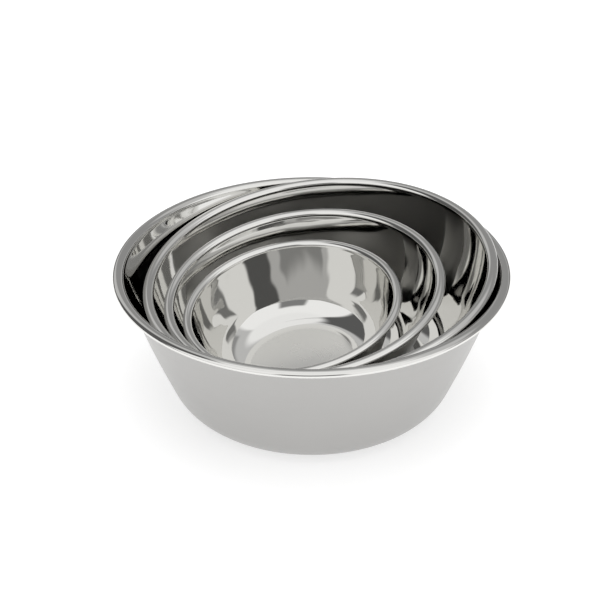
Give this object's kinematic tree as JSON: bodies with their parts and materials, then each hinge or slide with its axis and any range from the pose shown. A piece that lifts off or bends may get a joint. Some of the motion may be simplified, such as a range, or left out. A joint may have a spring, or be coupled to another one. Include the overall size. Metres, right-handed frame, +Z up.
{
  "type": "nested steel bowl set",
  "caption": "Round drawn steel bowls with curled lips, nested one in another and leaning, each lifting out of the next",
  "frame": {"origin": "centre of the large bowl's underside, on the surface it stands on", "axes": "+Z up along the large bowl's axis; the inner bowls lean towards -X and -Y, and the set is seen from -Y"},
  "size_m": [0.2798, 0.2798, 0.1133],
  "materials": {
    "large_bowl_steel": "satin outside, mirror polished inside and on the lip",
    "medium_bowl_steel": "satin outside, mirror polished inside and on the lip",
    "small_bowl_steel": "satin outside, mirror polished inside and on the lip",
    "mini_bowl_steel": "satin outside, mirror polished inside and on the lip"
  },
  "bodies": {
    "large_bowl": {"large_bowl": "large_bowl_steel"},
    "medium_bowl": {"medium_bowl": "medium_bowl_steel"},
    "small_bowl": {"small_bowl": "small_bowl_steel"},
    "mini_bowl": {"mini_bowl": "mini_bowl_steel"}
  },
  "joints": [
    {"name": "medium_lift", "type": "slide", "parent": "large_bowl", "child": "medium_bowl", "axis": [0, 0, 1], "range_m": [0, 0.12]},
    {"name": "small_lift", "type": "slide", "parent": "medium_bowl", "child": "small_bowl", "axis": [0, 0, 1], "range_m": [0, 0.12]},
    {"name": "mini_lift", "type": "slide", "parent": "small_bowl", "child": "mini_bowl", "axis": [0, 0, 1], "range_m": [0, 0.12]}
  ]
}
